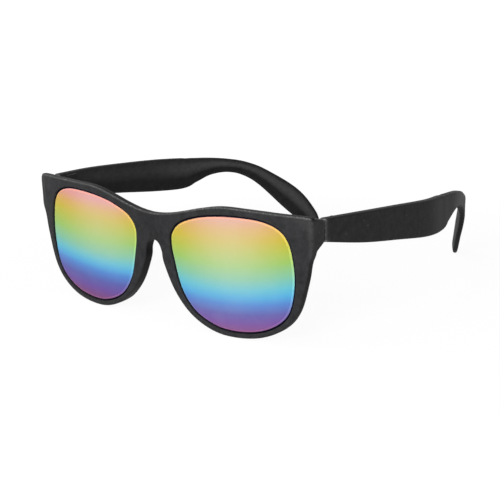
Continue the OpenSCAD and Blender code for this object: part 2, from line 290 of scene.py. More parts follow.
@dataclass(frozen=True)
class MouldedPlastic:
    """Black moulded plastic with an eroded grain, flow mottling and specks of dust, under painted highlights
    and painted shade.

    Attributes:
        tone: Brightness of the black.
        palest: Brightness of the palest mottling, as a share of the tone.
        tint: The black's tint.
        wall: Colour of the painted shade on the walls and edges behind the face and on a temple's long edges
            and lower inner facet.
        dust: Grey of the dust.
        painted_sheen: Grey of the painted highlights.
        glint_grey: Grey of the painted glints within the painted highlights.
        roughness: Roughness of the grain.
        gloss: Specular level.
        grain: Waves of the grain in a metre.
        grain_depth: Depth of the grain in metres.
        mottle: Waves of the mottling in a metre.
    """

    tone: float = 0.031
    palest: float = 1.33
    tint: tuple[float, float, float] = (0.97, 0.98, 1.03)
    wall: Colour = (0.0015, 0.0015, 0.0016, 1.0)
    dust: float = 0.16
    painted_sheen: float = 0.2
    glint_grey: float = 0.34
    roughness: float = 0.5
    gloss: float = 0.06
    grain: float = 2600.0
    grain_depth: float = 0.00006
    mottle: float = 380.0

    def material(self, name: str) -> bpy.types.Material:
        """Builds the plastic.

        Args:
            name: The material's name.

        Returns:
            The material.
        """
        graph = Graph.of_material(name)
        mottle = graph.noise(self.mottle, detail=5.0, roughness=0.72)
        fine = graph.noise(self.grain, detail=2.0)
        palest = tuple(self.palest * self.tone * part for part in self.tint) + (1.0,)
        base = graph.mix((1.3 * mottle + 0.1).clipped(), BLACK, palest)
        dust = graph.noise(2.05 * self.mottle, detail=1.0).step(0.755, 0.8)
        base = graph.mix(0.35 * dust, base, grey(self.dust))
        # Painted shade: the shade value darkens the plastic to the wall colour.
        base = graph.mix(graph.read(SHADE_NAME), base, self.wall)
        # Painted highlights: the highlight value lightens the plastic towards a pale grey, broken up by
        # noise.
        rub = graph.read(PAINTED_HIGHLIGHT_NAME)
        painted_sheen = (rub * (0.55 + 0.9 * graph.noise(2.2 * self.mottle, detail=2.0))).clipped()
        base = graph.mix(0.8 * painted_sheen, base, grey(self.painted_sheen))
        # Painted glints: small pale specks where the painted highlight is strongest.
        painted_glints = rub.step(0.22, 0.5) * graph.noise(0.6 * self.grain, detail=1.0).step(0.58, 0.64)
        base = graph.mix(0.8 * painted_glints, base, grey(self.glint_grey))
        return graph.surface(
            {
                "Base Color": base,
                "Roughness": self.roughness + 0.16 * (mottle - 0.5) + 0.08 * (fine - 0.5),
                "Normal": graph.bump(fine, strength=0.22, distance=self.grain_depth),
                "Specular IOR Level": self.gloss,
            }
        )


RAINBOW = (
    (-1.0, (136, 74, 128)),
    (-0.86, (120, 80, 156)),
    (-0.7, (102, 98, 170)),
    (-0.52, (88, 138, 206)),
    (-0.4, (86, 172, 218)),
    (-0.27, (102, 190, 206)),
    (-0.08, (130, 194, 160)),
    (0.15, (154, 195, 102)),
    (0.36, (180, 189, 72)),
    (0.56, (202, 180, 58)),
    (0.76, (214, 168, 88)),
    (1.0, (222, 150, 142)),
)
"""Colours of the mirror coating from the foot of a lens, at -1, to its top, at 1."""


@dataclass(frozen=True)
class MirrorCoating:
    """A rainbow mirror on a lens: colour bands that sag in the middle, a painted pale reflection and a
    painted bevel highlight.

    Attributes:
        tilt: How far the bands rise from the nose side to the cheek side, in half heights.
        sag: How far the bands sag in the middle, in half heights.
        drop: How much sooner the lower bands come, in half heights.
        rise: How much sooner the upper bands come, in half heights.
        painted_reflection: Share of white over the middle of the upper half, a painted reflection.
        low_painted_reflection: Share of that painted reflection left at the foot.
        lean: How far the painted reflection's middle lies towards the cheek, in half widths.
        ripple: Waves of the painted reflection's ripple in a metre.
        cool: Share of the red taken out at the foot.
        glow: What the painted highlight on the bevel makes of the bands.
        seam: Colour of the painted shade in the narrow gap between the bevel and the rim.
        bevel_mm: Distances from the edge where the bevel's painted highlight ends and where it is full.
        seam_mm: Distances from the edge where that painted shade ends and where it is full.
        mirror: Metallic share of the face.
        gloss: Clear gloss over the face.
    """

    tilt: float
    sag: float
    painted_reflection: float
    low_painted_reflection: float
    drop: float = 0.0
    rise: float = 0.0
    lean: float = 0.0
    ripple: float = 160.0
    cool: float = 0.0
    glow: Colour = (1.3, 1.25, 1.15, 1.0)
    seam: Colour = (0.002, 0.0025, 0.016, 1.0)
    bevel_mm: tuple[float, float] = (1.0, 0.86)
    seam_mm: tuple[float, float] = (0.4, 0.26)
    mirror: float = 0.45
    gloss: float = 0.08

    def material(self, name: str, middle: Vector, half_w: float, half_h: float) -> bpy.types.Material:
        """Builds the coating for one lens.

        Args:
            name: The material's name.
            middle: The lens's middle in the row frame.
            half_w: Half the lens's width in metres.
            half_h: Half its height in metres.

        Returns:
            The material.
        """
        graph = Graph.of_material(name)
        place = graph.make("SeparateXYZ", {}, {0: graph.place()}, "X")
        across = (abs(place) - abs(middle.x)) / half_w
        height = (place.output("Z") - middle.z) / half_h
        band = height - (self.tilt * across + self.sag * across * across)
        band = band - self.drop * height.step(0.0, -0.5)
        band = band + self.rise * height.step(0.5, 1.0)
        stops = [((at + 1) / 2, linear(screen)) for at, screen in RAINBOW]
        ramp = graph.make("ValToRGB", {"stops": stops}, {0: band * 0.5 + 0.5}, "Color")
        # Painted reflection: white mixed over the middle of the lens, most in its upper half.
        aside = across - self.lean
        inner = (1 - aside * aside).clipped()
        painted_reflection_mask = inner * inner * (self.low_painted_reflection + (1 - self.low_painted_reflection) * height.step(-0.6, 0.3))
        ripple = graph.noise(self.ripple, detail=2.0) - 0.5
        colour = graph.mix((self.painted_reflection * painted_reflection_mask + 0.05 * ripple).clipped(), ramp, WHITE)
        colour = graph.mix(self.cool * height.step(-0.2, -0.6), colour, (0.0, 0.7, 1.0, 1.0), "MULTIPLY")
        edge = graph.read(EDGE_NAME)
        # Painted highlight along the bevel: a brighter copy of the bands.
        bevel = edge.step(*self.bevel_mm)
        # Painted shade in the narrow gap between the bevel and the rim, dark navy.
        seam = edge.step(*self.seam_mm)
        bright = graph.mix(0.05, graph.mix(1.0, ramp, self.glow, "MULTIPLY"), WHITE)
        colour = graph.mix(0.9 * bevel, colour, bright)
        face = (1 - seam) * (1 - bevel)
        return graph.surface(
            {
                "Base Color": graph.mix(seam, colour, self.seam),
                "Roughness": 0.2 + 0.3 * seam + 0.35 * bevel * (1 - seam),
                "Metallic": self.mirror * face,
                "Coat Weight": self.gloss * face,
                "Coat Roughness": 0.08,
                "Specular IOR Level": 0.12,
            }
        )


@dataclass(frozen=True)
class SmokeTint:
    """The dark tinted back of a lens, faintly clouded.

    Attributes:
        tone: Colour of the tint.
        cloud: Waves of the clouding in a metre.
        gloss: Clear gloss over the tint.
    """

    tone: Colour = (0.018, 0.017, 0.016, 1.0)
    cloud: float = 60.0
    gloss: float = 0.6

    def material(self, name: str) -> bpy.types.Material:
        """Builds the tint.

        Args:
            name: The material's name.

        Returns:
            The material.
        """
        graph = Graph.of_material(name)
        cloud = graph.noise(self.cloud, detail=2.0)
        base = graph.mix((0.7 + 0.5 * cloud).clipped(), BLACK, self.tone)
        rough = 0.1 + 0.05 * cloud
        return graph.surface({"Base Color": base, "Roughness": rough, "Coat Weight": self.gloss})


@dataclass(frozen=True)
class HingeLacquer:
    """Black lacquer on the stamped hinge leaves, with a satin face and flecks where wear bares the steel
    below.

    Attributes:
        tone: Colour of the lacquer.
        dull: Colour of its dull patches.
        steel: Grey of the flecks.
        patch: Waves of the patches in a metre.
        fleck: Waves of the flecks in a metre.
    """

    tone: Colour = (0.007, 0.007, 0.0075, 1.0)
    dull: Colour = (0.004, 0.004, 0.004, 1.0)
    steel: float = 0.3
    patch: float = 800.0
    fleck: float = 2400.0

    def material(self, name: str) -> bpy.types.Material:
        """Builds the lacquer.

        Args:
            name: The material's name.

        Returns:
            The material.
        """
        graph = Graph.of_material(name)
        patches = graph.noise(self.patch, detail=3.0)
        flecks = graph.noise(self.fleck, detail=2.0).step(0.68, 0.74)
        base = graph.mix((0.6 + 0.6 * patches).clipped(), self.dull, self.tone)
        return graph.surface(
            {
                "Base Color": graph.mix(0.5 * flecks, base, grey(self.steel)),
                "Roughness": 0.46 + 0.2 * patches,
                "Metallic": 0.6 * flecks,
                "Specular IOR Level": 0.14,
                "Normal": graph.bump(patches, strength=0.2, distance=0.00003),
            }
        )


@dataclass(frozen=True)
class HingeMetal:
    """Plain nickel on the screws, with fine turned lines and dull spots.

    Attributes:
        tone: Colour of the nickel.
        dull: Colour of its spots.
        spot: Waves of the spots in a metre.
        line: Waves of the turned lines in a metre, along each axis.
    """

    tone: Colour = (0.58, 0.57, 0.55, 1.0)
    dull: Colour = (0.18, 0.17, 0.16, 1.0)
    spot: float = 900.0
    line: tuple[float, float, float] = (600.0, 600.0, 9000.0)

    def material(self, name: str) -> bpy.types.Material:
        """Builds the nickel.

        Args:
            name: The material's name.

        Returns:
            The material.
        """
        graph = Graph.of_material(name)
        lines = graph.make("Mapping", {}, {"Vector": graph.place(), "Scale": self.line})
        drawn = graph.make("TexNoise", {}, {"Vector": lines, "Scale": 1.0, "Detail": 2.0}, "Fac")
        spots = graph.noise(self.spot, detail=3.0)
        return graph.surface(
            {
                "Base Color": graph.mix((0.6 + 0.6 * spots).clipped(), self.dull, self.tone),
                "Roughness": 0.28 + 0.2 * spots + 0.1 * drawn,
                "Metallic": 1.0,
                "Normal": graph.bump(drawn, strength=0.15, distance=0.00002),
            }
        )


# Curves and fields, in millimetres


def spline(a: np.ndarray, b: np.ndarray, c: np.ndarray, d: np.ndarray, t: float) -> np.ndarray:
    """The point at share t between b and c of a smooth curve through a, b, c and d."""
    return 0.5 * (2 * b + (c - a) * t + (2 * a - 5 * b + 4 * c - d) * t**2 + (3 * b - a - 3 * c + d) * t**3)


def closed_curve(points: np.ndarray, steps: int) -> np.ndarray:
    """A closed smooth curve through the points.

    Args:
        points: The points it passes.
        steps: Number of steps between two of them.

    Returns:
        The curve's points.
    """
    count = len(points)
    return np.array(
        [
            spline(points[i - 1], points[i], points[(i + 1) % count], points[(i + 2) % count], k / steps)
            for i in range(count)
            for k in range(steps)
        ]
    )


def open_point(points: np.ndarray, t: float) -> np.ndarray:
    """A point of an open smooth curve.

    Args:
        points: The points that the curve passes.
        t: The place on it, from 0 to the last index.

    Returns:
        The point.
    """
    last = len(points) - 1
    i = min(int(t), last - 1)
    before = 2 * points[0] - points[1] if i == 0 else points[i - 1]
    after = 2 * points[last] - points[last - 1] if i + 2 > last else points[i + 2]
    return spline(before, points[i], points[i + 1], after, t - i)


def normals(points: np.ndarray) -> np.ndarray:
    """Normals of a closed outline.

    Args:
        points: Its points, anticlockwise.

    Returns:
        The outward normal at each of them.
    """
    along = np.roll(points, -1, 0) - np.roll(points, 1, 0)
    along /= np.linalg.norm(along, axis=1)[:, None]
    return np.stack([along[:, 1], -along[:, 0]], 1)


def ease(t: Any) -> Any:
    """A smooth step from 0 to 1."""
    c = np.clip(t, 0.0, 1.0)
    return c * c * (3 - 2 * c)


def fade(value: Any, start: float, over: float) -> Any:
    """A smooth step of the value that begins at start and is full past the width over."""
    return ease((value - start) / over)


def bell(value: Any, middle: float, width: float) -> Any:
    """A bell of the value round the middle, with that width to each side."""
    return np.exp(-(((value - middle) / width) ** 2))


def segment_distance(x: np.ndarray, z: np.ndarray, a: np.ndarray, b: np.ndarray) -> np.ndarray:
    """Squared distance to a straight stretch.

    Args:
        x: The points' places across.
        z: The points' heights.
        a: One end of the stretch.
        b: Its other end.

    Returns:
        The square of each point's distance.
    """
    dx, dz = b - a
    share = np.clip(((x - a[0]) * dx + (z - a[1]) * dz) / max(dx * dx + dz * dz, 1e-12), 0.0, 1.0)
    return (x - a[0] - share * dx) ** 2 + (z - a[1] - share * dz) ** 2


def path_distance(x: np.ndarray, z: np.ndarray, path: np.ndarray) -> np.ndarray:
    """Distance to an open path.

    Args:
        x: The points' places across.
        z: The points' heights.
        path: The path's points.

    Returns:
        The distance of each point.
    """
    best = np.full(x.shape, np.inf)
    for a, b in zip(path[:-1], path[1:]):
        best = np.minimum(best, segment_distance(x, z, a, b))
    return np.sqrt(best)


def outline_distance(x: np.ndarray, z: np.ndarray, outline: np.ndarray) -> np.ndarray:
    """Signed distance to a closed outline.

    Args:
        x: The points' places across.
        z: The points' heights.
        outline: The outline's points.

    Returns:
        The distance of each point, negative inside the outline.
    """
    inside = np.zeros(x.shape, bool)
    for (ax, az), (bx, bz) in zip(outline, np.roll(outline, -1, 0)):
        if az != bz:
            inside ^= ((az > z) != (bz > z)) & (x < (bx - ax) * (z - az) / (bz - az) + ax)
    return np.where(inside, -1.0, 1.0) * path_distance(x, z, np.concatenate([outline, outline[:1]]))


def smooth_max(a: np.ndarray, b: np.ndarray, blend: float) -> np.ndarray:
    """The larger of two fields, rounded over a width of about blend."""
    h = np.clip(0.5 + 0.5 * (a - b) / blend, 0.0, 1.0)
    return b * (1 - h) + a * h + blend * h * (1 - h)


def smooth_min(a: np.ndarray, b: np.ndarray, blend: float) -> np.ndarray:
    """The smaller of two fields, filleted over a width of about blend."""
    return -smooth_max(-a, -b, blend)


def rounded_plate(flat: np.ndarray, depth: np.ndarray, thick: Any, radius: Any) -> np.ndarray:
    """The field of a plate with rounded edges.

    Args:
        flat: Signed distance to the plate's outline.
        depth: Depth behind its face.
        thick: Its thickness.
        radius: Its edges' radius.

    Returns:
        The field, negative inside the plate.
    """
    p = flat + radius
    q = np.abs(depth - thick / 2) - (thick / 2 - radius)
    return np.minimum(np.maximum(p, q), 0.0) + np.hypot(np.maximum(p, 0), np.maximum(q, 0)) - radius


def rounded_box(
    at: Sequence[np.ndarray], low: Sequence[float], high: Sequence[float], radius: float
) -> np.ndarray:
    """The field of a box with rounded edges.

    Args:
        at: The points' x, y and z.
        low: The box's low corner.
        high: Its high corner.
        radius: Its edges' radius.

    Returns:
        The field, negative inside the box.
    """
    q = [np.abs(p - (a + b) / 2) - ((b - a) / 2 - radius) for p, a, b in zip(at, low, high)]
    outer = np.sqrt(sum(np.maximum(part, 0.0) ** 2 for part in q))
    return outer + np.minimum(np.maximum(np.maximum(q[0], q[1]), q[2]), 0.0) - radius


def surface_of(values: np.ndarray, origin: np.ndarray, step: float) -> tuple[np.ndarray, np.ndarray]:
    """The surface where a field on a grid is zero.

    Args:
        values: The field, negative inside the solid.
        origin: The place of the grid's first point.
        step: The grid's spacing.

    Returns:
        The surface's points and its four-sided faces, which look outward.
    """
    inside = values < 0
    cells = tuple(n - 1 for n in values.shape)
    corners = [np.array((i, j, k)) for i in (0, 1) for j in (0, 1) for k in (0, 1)]
    count = sum(
        inside[c[0] : c[0] + cells[0], c[1] : c[1] + cells[1], c[2] : c[2] + cells[2]].astype(np.int8)
        for c in corners
    )
    active = (count > 0) & (count < len(corners))
    index = np.full(cells, -1, int)
    index[active] = np.arange(int(active.sum()))
    at = np.argwhere(active)
    total = np.zeros((len(at), 3))
    hits = np.zeros(len(at))
    for a in corners:
        for axis in range(3):
            if a[axis]:
                continue
            b = a.copy()
            b[axis] = 1
            va = values[tuple((at + a).T)]
            vb = values[tuple((at + b).T)]
            crossed = (va < 0) != (vb < 0)
            share = np.where(crossed, va / np.where(crossed, va - vb, 1.0), 0.0)
            point = np.repeat(a[None].astype(float), len(at), 0)
            point[:, axis] += share
            total += point * crossed[:, None]
            hits += crossed
    points = origin + step * (at + total / hits[:, None])
    faces = []
    for axis in range(3):
        u, v = (axis + 1) % 3, (axis + 2) % 3
        ahead = np.zeros(3, int)
        ahead[axis] = 1
        low = inside[tuple(slice(0, n - d) for n, d in zip(values.shape, ahead))]
        high = inside[tuple(slice(d, n) for n, d in zip(values.shape, ahead))]
        edges = np.argwhere(low != high)
        edges = edges[(edges[:, u] > 0) & (edges[:, v] > 0)]
        edges = edges[(edges[:, u] < values.shape[u] - 1) & (edges[:, v] < values.shape[v] - 1)]
        quad = []
        for du, dv in ((0, 0), (1, 0), (1, 1), (0, 1)):
            cell = edges.copy()
            cell[:, u] -= du
            cell[:, v] -= dv
            quad.append(index[tuple(cell.T)])
        quad = np.stack(quad, 1)
        outward = low[tuple(edges.T)]
        quad[~outward] = quad[~outward][:, ::-1]
        faces.append(quad)
    return points, np.concatenate(faces)


# Meshes


def band(near: int, far: int, count: int) -> list[Face]:
    """The faces between two rings of points.

    Args:
        near: Number of the first ring.
        far: Number of the second ring.
        count: Points in a ring.

    Returns:
        The faces, each with two points of the near ring and then two of the far one.
    """
    pairs = [(i, (i + 1) % count) for i in range(count)]
    return [(near * count + i, near * count + k, far * count + k, far * count + i) for i, k in pairs]


def cap(ring: int, count: int) -> Face:
    """The face that fills a ring of points."""
    return tuple(range(ring * count, (ring + 1) * count))


def on_side(side: Side, points: np.ndarray, faces: list[Face]) -> tuple[np.ndarray, list[Face]]:
    """Carries a left piece to a side.

    Args:
        side: The side.
        points: The left piece's points.
        faces: Its faces.

    Returns:
        The points and faces on that side.
    """
    if side is Side.LEFT:
        return points, faces
    return points * (-1.0, 1.0, 1.0), [face[::-1] for face in faces]


def add_mesh(
    name: str, points: np.ndarray, faces: Any, materials: Sequence[bpy.types.Material], smooth: bool = True
) -> bpy.types.Object:
    """Adds a mesh object with its place in its mesh.

    Args:
        name: The piece's name.
        points: Its points in metres.
        faces: Its faces as rows of point numbers.
        materials: Its material slots.
        smooth: Whether it's shaded smooth.

    Returns:
        The object.
    """
    mesh = bpy.data.meshes.new(name)
    mesh.from_pydata([tuple(p) for p in points], [], [tuple(int(i) for i in f) for f in faces])
    mesh.validate()
    mesh.update()
    for material in materials:
        mesh.materials.append(material)
    mesh.polygons.foreach_set("use_smooth", [smooth] * len(mesh.polygons))
    piece = bpy.data.objects.new(name, mesh)
    bpy.context.scene.collection.objects.link(piece)
    return piece


def mark(piece: bpy.types.Object, name: str, values: Sequence[float]) -> None:
    """Keeps a value for each point of a piece, which its material reads under that name."""
    attribute = piece.data.attributes.new(name, "FLOAT", "POINT")
    attribute.data.foreach_set("value", [float(value) for value in values])


def declare(piece: bpy.types.Object, body: str, slot: Slot, node: str) -> None:
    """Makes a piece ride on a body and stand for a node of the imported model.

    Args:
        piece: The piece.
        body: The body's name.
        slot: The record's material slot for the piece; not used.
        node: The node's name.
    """
    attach(piece, body)
    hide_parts(node)
    LOG.info("%s rides on %s", piece.name, body)


@dataclass(frozen=True)
class Stand:
    """How the front's own frame, in millimetres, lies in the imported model's frame, in metres.

    Attributes:
        matrix: What carries a point from the one to the other.
    """

    matrix: Matrix

    @classmethod
    def from_joint(cls, joint: dict[str, Any], pivot: tuple[float, float, float]) -> "Stand":
        """Reads the stand from the left hinge.

        Args:
            joint: The hinge's joint in the record.
            pivot: Its pivot in the front's frame.

        Returns:
            The stand.
        """
        axis = joint["axis"]
        turn = Matrix.Rotation(math.atan2(-axis[1], axis[2]), 4, "X")
        shift = Matrix.Translation(Vector(joint["pos_m"]) - turn @ (Vector(pivot) * MM))
        return cls(shift @ turn @ Matrix.Scale(MM, 4))

    def points(self, own: np.ndarray) -> np.ndarray:
        """Carries points of the front's frame to the model's frame."""
        matrix = np.array(self.matrix)
        return own @ matrix[:3, :3].T + matrix[:3, 3]


# The pieces


LENS_FORM = (
    (0.998, 0.03),
    (0.965, 0.49),
    (0.884, 0.75),
    (0.742, 0.898),
    (0.52, 0.98),
    (0.23, 1.0),
    (-0.15, 0.978),
    (-0.5, 0.908),
    (-0.82, 0.765),
    (-0.975, 0.57),
    (-1.0, 0.36),
    (-0.955, 0.05),
    (-0.85, -0.4),
    (-0.634, -0.75),
    (-0.3, -0.95),
    (0.05, -1.0),
    (0.45, -0.928),
    (0.764, -0.731),
    (0.93, -0.45),
)
"""Lens outline in half widths and half heights, anticlockwise from the cheek side."""


@dataclass
class LensForm:
    """The outline of a lens opening and the wrap that both lenses and the front share.

    Attributes:
        width: Width of a lens opening.
        height: Its height.
        gap: Distance between the two openings.
        wrap_r: Radius of the front's wrap round the face.
        steps: Steps of the outline between two of its points.
        points: The left opening's outline points.
        outline: The smooth outline through them.
    """

    width: float = 53.5
    height: float = 43.2
    gap: float = 17.8
    wrap_r: float = 320.0
    steps: int = 12
    points: np.ndarray = field(init=False)
    outline: np.ndarray = field(init=False)

    def __post_init__(self) -> None:
        """Works out the outline."""
        half = np.array([self.width, self.height]) / 2
        self.points = np.array([(self.middle, 0.0)]) + np.array(LENS_FORM) * half
        self.outline = closed_curve(self.points, self.steps)

    @property
    def middle(self) -> float:
        """Distance of the lens's middle from the bridge's."""
        return (self.gap + self.width) / 2

    @property
    def outer(self) -> float:
        """Distance of the lens's cheek side from the bridge's middle."""
        return self.middle + self.width / 2

    def wrap(self, x: Any) -> Any:
        """Depth of the front's face at x."""
        return self.wrap_r - np.sqrt(self.wrap_r**2 - np.square(x))

    def beside(self, i: int, width: float) -> tuple[float, float]:
        """The point that lies width outside lens point i."""
        return tuple(self.points[i] + width * normals(self.points)[i])


@dataclass
class FrontMoulding:
    """The one-piece front: rims, brow, bridge, nose pads and end-pieces in one smooth moulding.

    Attributes:
        lens: The lens openings.
        thick: Thickness of the front.
        rim_top: Width of the rim above a lens.
        rim_outer: Width of the rim beside the cheek.
        rim_low: Width of the rim below a lens.
        rim_corner: Width of the rim at the low corner by the nose.
        rim_nose: Width of the rim beside the nose.
        bridge_dip: Drop of the bridge's top edge below the brow.
        bridge_h: Height of the bridge from the nose arch to its top edge.
        end_w: Width of the front outside a lens.
        corner_fall: Fall of the brow from above a lens to the corner.
        corner_h: Height of the corner above its foot.
        pad_depth: Depth of the moulded nose pads behind the front.
        pad_half: Half the width of a pad.
        pad_edge: Width over which a pad rises from the rim.
        pad_steps: Steps of the line that a pad follows.
        hinge_back: Distance from the front of the bridge back to the hinge gap.
        hinge_flare: Flare of an end-piece from the corner to the hinge gap.
        hinge_drop: Drop of the hinge's middle below the brow.
        temple_t: Thickness of a temple at the hinge.
        temple_root_h: Height of a temple at the hinge.
        barrel_r: Radius of the hinge barrels.
        barrel_room: Room between a barrel and the plastic beside it.
        boss_room: Room between a barrel and the boss that carries the leaf.
        boss_front: Distance from the front of the bridge back to the boss.
        boss_w: How far the boss stands in from the end-piece.
        boss_r: Radius of the boss's edges.
        boss_fillet: Fillet round the boss.
        corner_bevel: How far the corner is cut off, seen from above.
        wall_drop: How far an end-piece's wall reaches below the temple, at its front.
        wall_slope: Slope of the wall's lower edge.
        wall_r: Radius of the wall's edges.
        wall_fillet: Fillet between the wall and the front.
        seam: Width of the seam round a lens.
        lip_r: Radius of the rim's edges at the lens.
        edge_r: Radius of the outline's edges.
        corner_r: Radius of those edges at the upper corners.
        corner_x: Distance from the middle where that radius begins.
        corner_z: Height where it begins.
        corner_blend: Width over which it is reached.
        sheen_x: Distance from the middle where the painted sheen at the corner begins.
        nose_x: Distance from the middle where the painted shade on the wall beside the nose ends.
        outline_steps: Steps of the outline between two of its points.
        step: Spacing of the grid that the surface is taken from.
    """

    lens: LensForm
    thick: float = 3.0
    rim_top: float = 3.0
    rim_outer: float = 4.3
    rim_low: float = 2.2
    rim_corner: float = 2.4
    rim_nose: float = 5.4
    bridge_dip: float = 6.1
    bridge_h: float = 10.3
    end_w: float = 7.4
    corner_fall: float = 0.5
    corner_h: float = 12.6
    pad_depth: float = 1.4
    pad_half: float = 1.5
    pad_edge: float = 1.3
    pad_steps: int = 36
    hinge_back: float = 14.3
    hinge_flare: float = 0.3
    hinge_drop: float = 6.2
    temple_t: float = 3.8
    temple_root_h: float = 8.2
    barrel_r: float = 1.5
    barrel_room: float = 0.15
    boss_room: float = 0.75
    boss_front: float = 7.0
    boss_w: float = 6.0
    boss_r: float = 0.45
    boss_fillet: float = 0.9
    corner_bevel: float = 0.75
    wall_drop: float = 5.0
    wall_slope: float = 0.62
    wall_r: float = 0.7
    wall_fillet: float = 0.35
    seam: float = 0.36
    lip_r: float = 0.34
    edge_r: float = 0.6
    corner_r: float = 0.95
    corner_x: float = 65.0
    corner_z: float = 12.0
    corner_blend: float = 3.0
    sheen_x: float = 57.0
    nose_x: float = 17.0
    outline_steps: int = 6
    step: float = 0.29

    @property
    def half(self) -> float:
        """Half the front's width."""
        return self.lens.outer + self.end_w

    @property
    def brow(self) -> float:
        """Height of the brow above a lens."""
        return self.lens.height / 2 + self.rim_top

    @property
    def bridge(self) -> float:
        """Height of the bridge's top edge."""
        return self.brow - self.bridge_dip

    @property
    def arch(self) -> float:
        """Height of the nose arch."""
        return self.bridge - self.bridge_h

    @property
    def corner_y(self) -> float:
        """Depth of the front's face at its corner."""
        return self.lens.wrap(self.half)

    @property
    def hinge_z(self) -> float:
        """Height of the hinge's middle."""
        return self.brow - self.hinge_drop

    @property
    def hinge_half(self) -> float:
        """Half the width across the outer faces at the hinges."""
        return self.half + self.hinge_flare

    @property
    def inner(self) -> float:
        """Distance of a temple's inner face at the hinge from the middle."""
        return self.hinge_half - self.temple_t

    @property
    def pivot(self) -> tuple[float, float, float]:
        """The left hinge's pivot."""
        return self.inner - self.barrel_room - self.barrel_r, self.hinge_back, self.hinge_z

    def brow_at(self, x: Any) -> Any:
        """Height of the brow's top edge, which rises from the bridge and falls a little to the corner.

        Args:
            x: Distance from the middle.

        Returns:
            The height.
        """
        rise = self.lens.gap / 2 + 0.5 * self.lens.width
        fall = self.corner_fall * ease((x - rise) / (self.half - rise))
        return self.bridge + self.bridge_dip * ease(x / rise) - fall

    def outline(self) -> np.ndarray:
        """The front's whole outline.

        Returns:
            Its points, clockwise from the middle of the brow.
        """
        top = self.brow_at(self.half)
        foot = top - self.corner_h
        beside = self.lens.beside
        half = [(k * self.half, self.brow_at(k * self.half)) for k in (0.1, 0.2, 0.315, 0.46, 0.63, 0.8)]
        half += [
            (self.half - 2.2, top),
            (self.half - 0.6, top - 0.6),
            (self.half, top - 2.2),
            (self.half, top - 6.4),
            (self.half - 0.3, foot),
            (self.lens.outer + 0.76 * self.end_w, foot - 4.2),
            beside(0, self.rim_outer),
            beside(18, self.rim_outer - 1.5),
            beside(17, self.rim_low + 0.1),
            beside(16, self.rim_low),
            beside(15, self.rim_low),
            beside(14, self.rim_low + 0.1),
            beside(13, self.rim_corner),
            beside(12, self.rim_nose - 1.9),
            beside(11, self.rim_nose),
            (4.0, self.arch - 3.9),
            (2.5, self.arch - 0.9),
        ]
        other = [(-x, z) for x, z in reversed(half)]
        points = np.array([(0.0, self.bridge), *half, (0.0, self.arch), *other])
        return closed_curve(points, self.outline_steps)

    def pad_at(self, x: np.ndarray, z: np.ndarray) -> np.ndarray:
        """How far the moulded nose pad stands out behind the rim.

        Args:
            x: Distances from the middle.
            z: Heights.

        Returns:
            The depths, along a line that runs from the nose arch down the inside of the rim.
        """
        beside = self.lens.beside
        ends = [
            (0.6, self.arch + self.pad_half),
            (3.5, self.arch + 0.2),
            (5.4, self.arch - 3.0),
            beside(11, self.rim_nose - self.pad_half),
            beside(12, self.rim_nose - 1.9 - self.pad_half),
            beside(13, self.rim_corner - self.pad_half),
            beside(14, self.rim_low - self.pad_half + 0.1),
        ]
        places = np.linspace(0.0, len(ends) - 1.0, self.pad_steps + 1)
        path = np.array([open_point(np.array(ends), t) for t in places])
        away = path_distance(x, z, path)
        faded = fade(x, start=0.0, over=2.4) * fade(z, start=path[-1, 1], over=3.5)
        return self.pad_depth * ease((self.pad_half + self.pad_edge - away) / self.pad_edge) * faded

    def _wall(self, x: np.ndarray, y: np.ndarray, z: np.ndarray) -> np.ndarray:
        """The field of an end-piece where it runs back to the hinge.

        Args:
            x: Distances from the middle.
            y: Distances back from the bridge.
            z: Heights.

        Returns:
            The field, negative inside the end-piece.
        """
        low = self.hinge_z - self.temple_root_h / 2
        high = self.brow_at(self.half) - 0.1
        fall = high - (self.hinge_z + self.temple_root_h / 2) + 0.1
        run = np.clip((y - self.corner_y) / (self.hinge_back - self.corner_y), 0.0, 1.0)
        wall = rounded_box(
            (x - self.hinge_flare * run, y, z + fall * run),
            (self.inner, self.corner_y + 0.25, low - self.wall_drop),
            (self.half, self.hinge_back, high),
            self.wall_r,
        )
        slant = (low - self.wall_slope * (self.hinge_back - y) - z) / math.hypot(1.0, self.wall_slope)
        turn = (x - y - self.half + self.corner_y + self.corner_bevel) / math.sqrt(2.0)
        return smooth_max(smooth_max(wall, slant, blend=0.9), turn, blend=1.0)

    def _boss(self, x: np.ndarray, y: np.ndarray, z: np.ndarray) -> np.ndarray:
        """The field of the boss that carries the hinge leaf.

        Args:
            x: Distances from the middle.
            y: Distances back from the bridge.
            z: Heights.

        Returns:
            The field, negative inside the boss.
        """
        half_h = self.temple_root_h / 2
        back = self.hinge_back - self.barrel_r - self.boss_room
        low = (self.inner - self.boss_w, self.boss_front, self.hinge_z - half_h + 0.2)
        high = (self.inner + 0.6, back, self.hinge_z + half_h - 0.25)
        return rounded_box((x, y, z), low, high, self.boss_r)

    def form(
        self,
        x: np.ndarray,
        depth: np.ndarray,
        z: np.ndarray,
        flat: np.ndarray,
        hole: np.ndarray,
        pad: np.ndarray,
    ) -> np.ndarray:
        """The moulding's field.

        Args:
            x: Distances from the middle.
            depth: Depths behind the wrapped face.
            z: Heights.
            flat: Signed distance to the front's outline.
            hole: Signed distance to the lens opening.
            pad: How far the nose pad stands out behind the rim.

        Returns:
            The field, negative inside the solid.
        """
        y = depth + self.lens.wrap(x)
        corner = fade(x, self.corner_x, self.corner_blend) * fade(z, self.corner_z, self.corner_blend)
        radius = self.edge_r + (self.corner_r - self.edge_r) * corner
        body = rounded_plate(flat, depth, self.thick + pad, radius)
        body = smooth_min(body, self._wall(x, y, z), self.wall_fillet)
        body = smooth_min(body, self._boss(x, y, z), self.boss_fillet)
        return smooth_max(body, -hole, self.lip_r)

